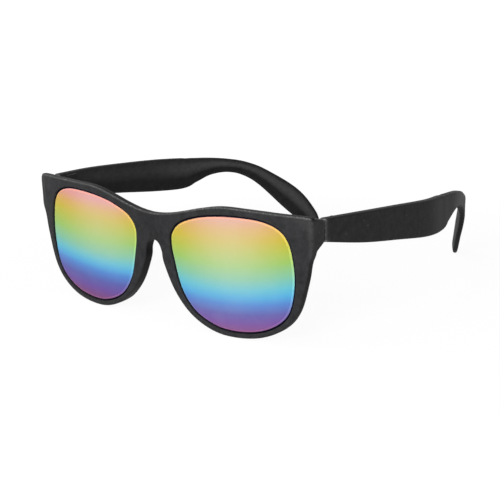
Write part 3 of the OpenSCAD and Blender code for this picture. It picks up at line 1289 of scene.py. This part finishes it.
    def painted_highlight_at(self, points: np.ndarray) -> np.ndarray:
        """How much painted highlight lightens the plastic.

        Args:
            points: The points, as (x, depth, height).

        Returns:
            The painted highlight at each of them, from 0 to 1: most along the brow and round the hinge gap.
        """
        x, depth, z = np.abs(points[:, 0]), points[:, 1], points[:, 2]
        y = depth + self.lens.wrap(x)
        below = self.brow_at(x) - z
        # Painted highlight: a thin light line along the brow's top front edge.
        brow = bell(depth, middle=0.3, width=0.3) * bell(below, middle=0.2, width=0.3)
        # Painted glints round the hinge gap.
        gap = bell(y, middle=self.hinge_back, width=0.5) * fade(x, start=self.inner, over=0.5)
        # Painted highlight: a light band down the cut-off corner of the end-piece.
        turn = x - y - self.half + self.corner_y + self.corner_bevel
        corner = bell(turn, middle=0.0, width=0.6) * fade(x, start=self.half - 3.0, over=2.0)
        corner = corner * fade(below, start=0.8, over=1.0)
        # Painted sheen on the face near the end-piece's upper corner.
        sheen = bell(below, middle=0.0, width=4.5) * fade(x, start=self.sheen_x, over=10.0) * (depth < 0.5)
        # Painted light: the end-piece's outer wall a little lighter.
        wall = fade(x, start=self.half - 0.6, over=0.5) * fade(y, start=self.corner_y + 1.0, over=1.0)
        return np.clip(0.5 * brow + 0.45 * gap + 0.1 * corner + 0.1 * sheen + 0.06 * wall, 0.0, 1.0)

    def shade_at(self, points: np.ndarray) -> np.ndarray:
        """How much painted shade darkens the walls behind the face.

        Args:
            points: The points, as (x, depth, height).

        Returns:
            The shade at each of them, from 0 to 1: most beside the nose and along the top.
        """
        x, depth, z = np.abs(points[:, 0]), points[:, 1], points[:, 2]
        flat = outline_distance(x, z, self.outline())
        # Painted shade on the walls and edges all round the outline, the top included.
        wall = fade(flat, start=-0.5, over=0.35) * fade(depth, start=0.35, over=0.4)
        # Deeper painted shade beside the nose and on the top face.
        nose = ease((self.nose_x - x) / 4.0) * ease(self.arch + 1.0 - z)
        # Almost no painted shade on the end-piece's outer wall.
        side = fade(x, start=self.half - 1.2, over=0.8) * ease((self.brow - 1.2 - z) / 0.8)
        top = fade(z - self.brow_at(x), start=-1.2, over=0.8)
        # Faint painted shade on the bridge's face.
        bridge = 0.16 * bell(x, middle=0.0, width=11.0) * (depth < 0.4)
        return np.maximum(wall * (0.5 + 0.3 * np.maximum(nose, top)) * (1 - 0.9 * side), bridge)

    def build(self, stand: Stand, finish: MouldedPlastic) -> None:
        """Builds the moulding and dresses it.

        Args:
            stand: Where the front stands.
            finish: Its plastic.
        """
        step = self.step
        reach = self.hinge_half + 4 * step
        x = np.arange(-reach, reach + step, step)
        deepest = self.hinge_back - self.lens.wrap(self.inner - self.boss_w - 2.0)
        depth = np.arange(-4 * step, deepest + 4 * step, step)
        z = np.arange(-self.lens.height / 2 - self.rim_low - 4 * step, self.brow + 5 * step, step)
        flat_x, flat_z = np.meshgrid(np.abs(x), z, indexing="ij")
        flat = outline_distance(flat_x, flat_z, self.outline())
        hole = outline_distance(flat_x, flat_z, self.lens.outline) - self.seam
        pad = self.pad_at(flat_x, flat_z)
        grid = (np.abs(x)[:, None, None], depth[None, :, None], z[None, None, :])
        values = self.form(*grid, flat[:, None, :], hole[:, None, :], pad[:, None, :])
        points, faces = surface_of(values, np.array([x[0], depth[0], z[0]]), step)
        # Painted highlights and painted shade, kept on the points for the plastic to read.
        rub, shade = self.painted_highlight_at(points), self.shade_at(points)
        points[:, 1] += self.lens.wrap(points[:, 0])
        piece = add_mesh("front_moulding", stand.points(points), faces, [finish.material("front_plastic")])
        mark(piece, PAINTED_HIGHLIGHT_NAME, rub)
        mark(piece, SHADE_NAME, shade)
        declare(piece, "front", Slot.PLASTIC, "front_frame")


@dataclass
class MirrorLens:
    """One lens with its bevelled edge, a mirror face and a dark back.

    Attributes:
        lens: The lens opening.
        side: The lens's side.
        coating: The mirror.
        inset: How far the face sits back from the rim's.
        thick: The lens's thickness.
        bevel_w: Width of the bevel.
        bevel_drop: How far the bevel falls to the edge.
        wall: Depth of the groove's front wall.
        reach: How far the lens reaches into the groove.
        flat_from: Distance from the edge past which the face is plain.
        inner_rings: Rings of points on the plain face.
        inside: Edge distance that the points past it keep for the finish.
    """

    lens: LensForm
    side: Side
    coating: MirrorCoating
    inset: float = 0.35
    thick: float = 1.8
    bevel_w: float = 0.85
    bevel_drop: float = 0.25
    wall: float = 1.25
    reach: float = 0.6
    flat_from: float = 1.4
    inner_rings: int = 16
    inside: float = 5.0

    def _profile(self) -> list[tuple[float, float]]:
        """Rings of the front face from the rim's groove inward, as (distance from the edge, depth)."""
        low = self.inset + self.bevel_drop
        return [
            (-self.reach, self.wall),
            (-0.02, self.wall),
            (0.0, low + 0.05),
            (0.06, low),
            (0.34, low - 0.02),
            (self.bevel_w / 2 + 0.15, self.inset + 0.5 * self.bevel_drop),
            (self.bevel_w, self.inset + 0.03),
            (self.bevel_w + 0.12, self.inset),
            (self.flat_from, self.inset),
        ]

    def _rings(self) -> tuple[list[tuple[np.ndarray, float, float]], int]:
        """The rings of points that make up the lens.

        Returns:
            Each ring's outline, its depth and its distance from the edge, and the number of front rings.
        """
        edge = self.lens.outline
        out = normals(edge)
        middle = np.array([self.lens.middle, 0.0])
        rings = [(edge - inward * out, depth, inward) for inward, depth in self._profile()]
        last = rings[-1][0]
        shares = np.linspace(0.94, 0.06, self.inner_rings)
        inner = [middle + share * (last - middle) for share in shares]
        rings += [(ring, self.inset, self.inside) for ring in inner]
        front_count = len(rings)
        back = self.inset + self.thick
        rings += [(ring, back, self.inside) for ring in reversed(inner)]
        rings.append((edge + self.reach * out, back, self.inside))
        return rings, front_count

    def build(self, stand: Stand, smoke: bpy.types.Material) -> None:
        """Builds the lens and dresses it.

        Args:
            stand: Where the front stands.
            smoke: Finish of the lens's back.
        """
        rings, front_count = self._rings()
        count, total = len(self.lens.outline), len(rings)
        own = np.array([(px, self.lens.wrap(px) + depth, pz) for ring, depth, _ in rings for px, pz in ring])
        faces: list[Face] = []
        backs: list[bool] = []
        for j in range(total):
            if j != front_count - 1:
                faces += band(j, (j + 1) % total, count)
                backs += [j >= front_count] * count
        faces += [cap(front_count - 1, count), cap(front_count, count)[::-1]]
        backs += [False, True]
        own, faces = on_side(self.side, own, faces)
        centre = Vector(stand.points(np.array([self.lens.middle * self.side.value, 0.0, 0.0])))
        half_w, half_h = self.lens.width / 2 * MM, self.lens.height / 2 * MM
        coat = self.coating.material("mirror_" + self.side.word, centre, half_w, half_h)
        piece = add_mesh("mirror_lens_" + self.side.word, stand.points(own), faces, [coat, smoke])
        piece.data.polygons.foreach_set("material_index", [int(b) for b in backs])
        mark(piece, EDGE_NAME, [inward for _, _, inward in rings for _ in range(count)])
        declare(piece, "front", Slot.LENS, "lens_" + self.side.word)


@dataclass
class Temple:
    """A flat moulded temple that bows out, bends behind the ear and ends in a paddle.

    Attributes:
        front: The front that it hangs on.
        side: The temple's side.
        thick: Thickness from the hinge to the bend.
        root_h: Height at the hinge.
        wide_h: Height at the widest place.
        bend_h: Height at the bend.
        tip_h: Height of the paddle behind the ear.
        hook_t: Thickness along the hook.
        reach: Distance from the hinge gap back to the tip.
        bow: How far the temple bows out past its hinge.
        tip_inboard: How far the tip lies inboard of the hinge.
        dip: Drop from the hinge to the bend.
        hook: Drop from the bend to the tip.
        gap: Width of the hinge gap.
        edge_r: Radius of the long edges.
        crease: Height of the crease along the inner face.
        crease_up: How far the crease lies above the middle, as a share of the half height.
        start_r: Radius of the end at the hinge gap.
        upper_rub: Painted highlight on the upper inner facet.
        lower_shade: Painted shade on the lower inner facet.
        tip_share: Length of the round tip, in steps between two path points.
        tip_flat: Share of the thickness that is left at the tip's end.
        tip_end: How far before the last path point the tip is closed, as a share of its length.
        thin_start: Path point from which the temple thins.
        thin_end: Path point from which it has the hook's thickness.
        steps: Sections between two path points.
        probe: How far the path is looked along for its direction, in steps between two path points.
        arc_points: Points in each rounded edge of a section.
        face_points: Points in each flat face of a section, its corners with them.
    """

    front: FrontMoulding
    side: Side
    thick: float = 3.8
    root_h: float = 8.2
    wide_h: float = 14.0
    bend_h: float = 6.1
    tip_h: float = 10.9
    hook_t: float = 2.2
    reach: float = 134.0
    bow: float = 3.4
    tip_inboard: float = 30.3
    dip: float = 10.2
    hook: float = 34.2
    gap: float = 0.2
    edge_r: float = 1.0
    crease: float = 0.8
    crease_up: float = 0.1
    start_r: float = 1.05
    upper_rub: float = 0.24
    lower_shade: float = 0.42
    tip_share: float = 0.4
    tip_flat: float = 0.35
    tip_end: float = 0.012
    thin_start: float = 6.0
    thin_end: float = 10.0
    steps: int = 12
    probe: float = 0.02
    arc_points: int = 7
    face_points: int = 7

    def path(self) -> np.ndarray:
        """The temple's middle line.

        Returns:
            Control points from the hinge gap, as (outward, back, up, half height, lean).
        """
        root, wide, bend, tip = self.root_h / 2, self.wide_h / 2, self.bend_h / 2, self.tip_h / 2
        bow, inboard, dip, hook = self.bow, self.tip_inboard, self.dip, self.hook
        rows = [
            (0, 0, 0, root, 0),
            (0.79 * bow, 0.151, -0.295 * dip, root + 0.52 * (wide - root), 0),
            (bow, 0.302, -0.57 * dip, root + 0.79 * (wide - root), 0),
            (0.94 * bow, 0.449, -0.843 * dip, wide, 0),
            (0.1 * bow, 0.551, -0.98 * dip, bend + 0.96 * (wide - bend), 0),
            (-0.042 * inboard, 0.597, -0.936 * dip, bend + 0.65 * (wide - bend), 0.6),
            (-0.113 * inboard, 0.658, -0.887 * dip, bend + 0.22 * (wide - bend), 1.8),
            (-0.22 * inboard, 0.724, -0.97 * dip, bend, 3),
            (-0.337 * inboard, 0.787, -dip - 0.07 * hook, bend + 0.06 * (tip - bend), 2.5),
            (-0.472 * inboard, 0.852, -dip - 0.237 * hook, bend + 0.38 * (tip - bend), 2),
            (-0.75 * inboard, 0.933, -dip - 0.59 * hook, tip, 9),
            (-inboard, 1.0, -dip - hook, 0.62 * tip, 16),
        ]
        return np.array(rows, float) * (1.0, self.reach, 1.0, 1.0, 1.0)

    @property
    def _inner_top(self) -> int:
        """Number of the section point where the inner face starts."""
        return 2 * self.arc_points + 1

    def _section(self, half_h: float, half_w: float, fold: float, inset: float) -> np.ndarray:
        """A section with rounded edges and the inner crease, outer face at +x, anticlockwise.

        Args:
            half_h: Half the section's height.
            half_w: Half its thickness.
            fold: Height of its crease.
            inset: How far it is shrunk all round.

        Returns:
            Its points, as (outward, up).
        """
        radius = max(0.02, min(self.edge_r, 0.9 * half_w, 0.9 * half_h) - 0.3 * inset)
        half_h, half_w = half_h - inset, half_w - inset
        wide, run = half_w - radius, half_h - radius
        heights = run * (1 - 2 * np.linspace(0.0, 1.0, self.face_points)[1:-1])
        away = np.abs(heights - self.crease_up * half_h) / ((1 + self.crease_up) * half_h)
        rises = np.maximum(0.0, 1 - away) ** 1.2
        flats = (
            [(wide * (1 - 2 * share), half_h) for share in (0.33, 0.67)],
            list(zip(-half_w - fold * rises, heights)),
            [(-wide * (1 - 2 * share), -half_h) for share in (0.33, 0.67)],
            [(half_w, -height) for height in heights],
        )
        points = []
        for (sx, sz, start), flat in zip(((1, 1, 0), (-1, 1, 90), (-1, -1, 180), (1, -1, 270)), flats):
            turns = np.radians(start + np.linspace(0, 90, self.arc_points))
            points += [(sx * wide + radius * np.cos(a), sz * run + radius * np.sin(a)) for a in turns]
            points += flat
        return np.array(points)

    def _facet(self, rings: np.ndarray, start: int, values: Sequence[float]) -> np.ndarray:
        """A value for every section point.

        Args:
            rings: The sections.
            start: Number of the section point that the values start at.
            values: The values, with nothing on the other points.

        Returns:
            The values by section and point.
        """
        row = np.zeros(rings.shape[1])
        row[start : start + len(values)] = values
        return np.tile(row, (len(rings), 1))

    def painted_highlight_at(self, rings: np.ndarray) -> np.ndarray:
        """How much painted highlight lightens the plastic.

        Args:
            rings: The sections.

        Returns:
            The painted highlight at each point: at the hinge's end and on the upper inner facet, more
                towards the hook.
        """
        own = rings.reshape(-1, 3)
        back = own[:, 1] - self.front.hinge_back - self.gap
        aside = np.abs(own[:, 2] - self.front.hinge_z) / (self.root_h / 2)
        # Painted highlight along the end at the hinge gap, strongest at its top and bottom.
        end = bell(back, middle=0.0, width=1.0) * (0.3 + 0.9 * fade(aside, start=0.75, over=0.25))
        # Painted highlight on the upper inner facet, growing towards the hook.
        along = 0.35 + 0.65 * fade(back / self.reach, start=0.4, over=0.25)
        upper = self._facet(rings, self._inner_top, (0.0, 0.8, 1.0, 0.7)).reshape(-1)
        return np.clip(end + self.upper_rub * upper * along, 0.0, 1.0)

    def shade_at(self, rings: np.ndarray) -> np.ndarray:
        """How much painted shade darkens the long edges and the lower inner facet.

        Args:
            rings: The sections.

        Returns:
            The shade at each point, from 0 to 1.
        """
        heights = rings[:, :, 2]
        low, high = heights.min(axis=1, keepdims=True), heights.max(axis=1, keepdims=True)
        margin = np.minimum(heights - low, high - heights)
        # Painted shade along the top and bottom edges.
        edges = 0.65 * ease((0.75 - margin) / 0.6)
        # Painted shade on the lower inner facet.
        lower = self._facet(rings, self._inner_top + 3, (0.5, 1.0, 1.0, 1.0))
        return np.maximum(edges, self.lower_shade * lower).reshape(-1)

    def _times(self, last: int, start: float) -> list[float]:
        """Places of the sections along the path, closer together where its two ends are rounded.

        Args:
            last: Number of the last path point.
            start: Length of the rounded start, in steps between two path points.

        Returns:
            The places, from 0 to nearly the last path point.
        """
        starts = [start * (1 - math.cos(math.radians(a))) for a in range(0, 91, 15)]
        times = [k / self.steps for k in range(int(self.steps * (last - self.tip_share)))]
        times += [last - self.tip_share * (1 - math.sin(math.radians(a))) for a in range(0, 90, 8)]
        times.append(last - self.tip_end * self.tip_share)
        return starts + [t for t in times if t > starts[-1] + 0.01]

    def rings(self) -> np.ndarray:
        """The temple's sections.

        Returns:
            Their points from the hinge gap to the tip, by section.
        """
        path = self.path()
        last = len(path) - 1
        length = float(np.linalg.norm(path[1, :3]))
        front = self.front
        root = np.array([front.inner + self.thick / 2, front.hinge_back + self.gap, front.hinge_z])
        rings = []
        for t in self._times(last, self.start_r / length):
            centre = open_point(path, t)
            ahead = open_point(path, min(t + self.probe, last))
            behind = open_point(path, max(t - self.probe, 0.0))
            along = np.array([0.0, 1.0, 0.0]) if t < self.probe else (ahead - behind)[:3]
            along = along / np.linalg.norm(along)
            out = np.array([along[1], -along[0], 0.0])
            out /= np.linalg.norm(out)
            up = np.cross(out, along)
            lean = math.radians(centre[4])
            tall = math.cos(lean) * up + math.sin(lean) * out
            wide = math.cos(lean) * out - math.sin(lean) * up
            near_tip = max(0.0, 1 - (last - t) / self.tip_share)
            scale = math.sqrt(max(0.0, 1 - near_tip**2))
            from_start = max(0.0, self.start_r - t * length)
            inset = self.start_r - math.sqrt(max(0.0, self.start_r**2 - from_start**2))
            fold = self.crease * float(fade(t, start=0.6, over=0.8)) * scale
            thinned = float(fade(t, start=self.thin_start, over=self.thin_end - self.thin_start))
            thick = self.thick + (self.hook_t - self.thick) * thinned
            half_w = thick / 2 * (self.tip_flat + (1 - self.tip_flat) * scale)
            section = self._section(centre[3] * scale, half_w, fold, inset)
            rings.append(centre[:3] + root + section[:, :1] * wide + section[:, 1:] * tall)
        return np.array(rings)

    def build(self, stand: Stand, finish: MouldedPlastic) -> None:
        """Builds the temple and dresses it.

        Args:
            stand: Where the front stands.
            finish: The temple's plastic.
        """
        word = self.side.word
        rings = self.rings()
        total, count = rings.shape[:2]
        faces = [(a, d, c, b) for j in range(total - 1) for a, b, c, d in band(j, j + 1, count)]
        faces += [cap(0, count), cap(total - 1, count)[::-1]]
        own, faces = on_side(self.side, rings.reshape(-1, 3), faces)
        plastic = finish.material("temple_plastic_" + word)
        piece = add_mesh("temple_moulding_" + word, stand.points(own), faces, [plastic])
        # Painted highlights and painted shade, kept on the points for the plastic to read.
        mark(piece, PAINTED_HIGHLIGHT_NAME, self.painted_highlight_at(rings))
        mark(piece, SHADE_NAME, self.shade_at(rings))
        declare(piece, word + "_temple", Slot.PLASTIC, "temple_" + word)


@dataclass
class Hinge:
    """The metal of one hinge: two leaves and the screw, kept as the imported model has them.

    Attributes:
        side: The hinge's side.
    """

    side: Side

    def dress(
        self, nodes: dict[str, bpy.types.Object], lacquer: bpy.types.Material, metal: bpy.types.Material
    ) -> None:
        """Gives the hinge's nodes their finish.

        Args:
            nodes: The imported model's nodes by name.
            lacquer: The leaves' finish.
            metal: The screw's finish.
        """
        for part, finish in (("front_leaf_", lacquer), ("temple_leaf_", lacquer), ("hinge_screw_", metal)):
            node = nodes[part + self.side.word]
            node.data.materials.clear()
            node.data.materials.append(finish)
            LOG.info("%s has its finish", node.name)


# The studio


@dataclass(frozen=True)
class Lamp:
    """A soft square lamp that faces the object.

    Attributes:
        name: The lamp's name.
        spot: Where it hangs, in metres.
        size: Length of its side in metres.
        power: Its power in watts.
        target: The point that it faces.
    """

    name: str
    spot: tuple[float, float, float]
    size: float
    power: float
    target: tuple[float, float, float] = (0.0, -0.03, 0.02)

    def hang(self) -> None:
        """Adds the lamp to the scene."""
        data = bpy.data.lights.new(self.name, "AREA")
        data.shape = "SQUARE"
        data.size = self.size
        data.energy = self.power
        lamp = bpy.data.objects.new(self.name, data)
        bpy.context.scene.collection.objects.link(lamp)
        lamp.location = Vector(self.spot)
        lamp.rotation_euler = (Vector(self.target) - lamp.location).to_track_quat("-Z", "Y").to_euler()


LAMPS = (
    Lamp("key", (0.3, -1.05, 0.5), size=0.6, power=11.0),
    Lamp("high", (-0.2, -0.55, 1.15), size=0.5, power=2.5),
    Lamp("fill", (1.15, -0.1, 0.5), size=0.8, power=1.5),
)


@dataclass
class Studio:
    """The pale floor, the soft lights and the camera.

    Attributes:
        azimuth: The camera's angle round the object, in degrees from straight in front.
        elevation: Its angle above the floor in degrees.
        roll: Its roll in degrees.
        distance: Its distance from the aim in metres.
        focal_px: Its focal length in pixels of the picture.
        aim: The point that it looks at.
        picture_px: The picture's width in pixels.
        sensor: The camera's sensor width in millimetres.
        floor_half: Half the floor's width in metres.
        floor_grey: The floor's grey for soft light.
        floor_glow: The floor's brightness in the picture.
        room_light: The surroundings' brightness for soft light.
    """

    azimuth: float = 40.898
    elevation: float = 14.975
    roll: float = -1.663
    distance: float = 0.51152
    focal_px: float = 1370.7
    aim: tuple[float, float, float] = (0.0271, -0.05105, 0.02684)
    picture_px: float = 500.0
    sensor: float = 36.0
    floor_half: float = 2.0
    floor_grey: float = 0.7
    floor_glow: float = 1.07
    room_light: float = 0.16

    def camera(self) -> None:
        """Adds the camera at the photograph's viewing angle."""
        data = bpy.data.cameras.new("view")
        data.sensor_width = self.sensor
        data.lens = self.focal_px * self.sensor / self.picture_px
        data.clip_start = 0.01
        camera = bpy.data.objects.new("view", data)
        bpy.context.scene.collection.objects.link(camera)
        azimuth, elevation, roll = [math.radians(a) for a in (self.azimuth, self.elevation, self.roll)]
        flat = math.cos(elevation)
        back = Vector((math.sin(azimuth) * flat, -math.cos(azimuth) * flat, math.sin(elevation)))
        right = Vector((math.cos(azimuth), math.sin(azimuth), 0.0))
        up = back.cross(right)
        across = math.cos(roll) * right + math.sin(roll) * up
        upright = math.cos(roll) * up - math.sin(roll) * right
        spot = Vector(self.aim) + self.distance * back
        turn = Matrix((across, upright, back)).transposed().to_4x4()
        camera.matrix_world = Matrix.Translation(spot) @ turn
        bpy.context.scene.camera = camera

    def _floor_material(self) -> bpy.types.Material:
        """The floor's finish.

        Returns:
            A white that keeps a faint shadow near the object.
        """
        graph = Graph.of_material("floor_white")
        away = graph.make("VectorMath", {"operation": "LENGTH"}, {0: graph.place()}, "Value")
        plain = graph.make("BsdfDiffuse", {}, {"Color": grey(self.floor_grey)})
        white = graph.make("Emission", {}, {"Color": WHITE, "Strength": self.floor_glow})
        share = graph.sharp_ray() * (0.88 + 0.12 * away.step(0.1, 0.3))
        mixed = graph.make("MixShader", {}, {0: share, 1: plain, 2: white})
        graph.add("OutputMaterial", {}, {"Surface": mixed})
        return graph.owner

    def floor(self) -> None:
        """Adds the floor under the rims and tips."""
        half = self.floor_half
        corners = np.array([(-half, -half, 0.0), (half, -half, 0.0), (half, half, 0.0), (-half, half, 0.0)])
        floor = add_mesh("floor", corners, [cap(0, 4)], [self._floor_material()], smooth=False)

    def surroundings(self) -> None:
        """Adds surroundings that look white and light the object softly."""
        world = bpy.data.worlds.new("surroundings")
        bpy.context.scene.world = world
        graph = Graph(world)
        lit = graph.make("Background", {}, {"Color": WHITE, "Strength": self.room_light})
        seen = graph.make("Background", {}, {"Color": WHITE, "Strength": 1.0})
        mixed = graph.make("MixShader", {}, {0: graph.sharp_ray(), 1: lit, 2: seen})
        graph.add("OutputWorld", {}, {"Surface": mixed})

    def build(self) -> None:
        """Adds everything round the object."""
        self.camera()
        self.floor()
        for lamp in LAMPS:
            lamp.hang()
        self.surroundings()
        bpy.context.scene.view_settings.view_transform = "Standard"


def main() -> None:
    """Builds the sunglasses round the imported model."""
    logging.basicConfig(level=logging.INFO, format="%(name)s: %(message)s")
    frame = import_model()
    Studio().build()
    lens = LensForm()
    front = FrontMoulding(lens)
    joint = next(j for j in frame["joints"] if j["name"] == "left_fold")
    stand = Stand.from_joint(joint, front.pivot)
    front.build(stand, MouldedPlastic())
    smoke = SmokeTint().material("smoke_back")
    coatings = {
        Side.LEFT: MirrorCoating(tilt=0.08, sag=0.14, painted_reflection=0.19, low_painted_reflection=0.2),
        Side.RIGHT: MirrorCoating(
            tilt=0.03, sag=0.1, painted_reflection=0.15, low_painted_reflection=0.0, drop=0.07, rise=0.14, cool=0.2, lean=-0.2
        ),
    }
    lacquer = HingeLacquer().material("leaf_lacquer")
    metal = HingeMetal().material("screw_nickel")
    for side in Side:
        MirrorLens(lens, side, coatings[side]).build(stand, smoke)
        # The temples take a darker copy of the front's plastic: painted shade over the whole temple.
        Temple(front, side).build(stand, MouldedPlastic(tone=0.0265, roughness=0.54))
        Hinge(side).dress(frame["nodes"], lacquer, metal)


if __name__ == "__main__":
    main()
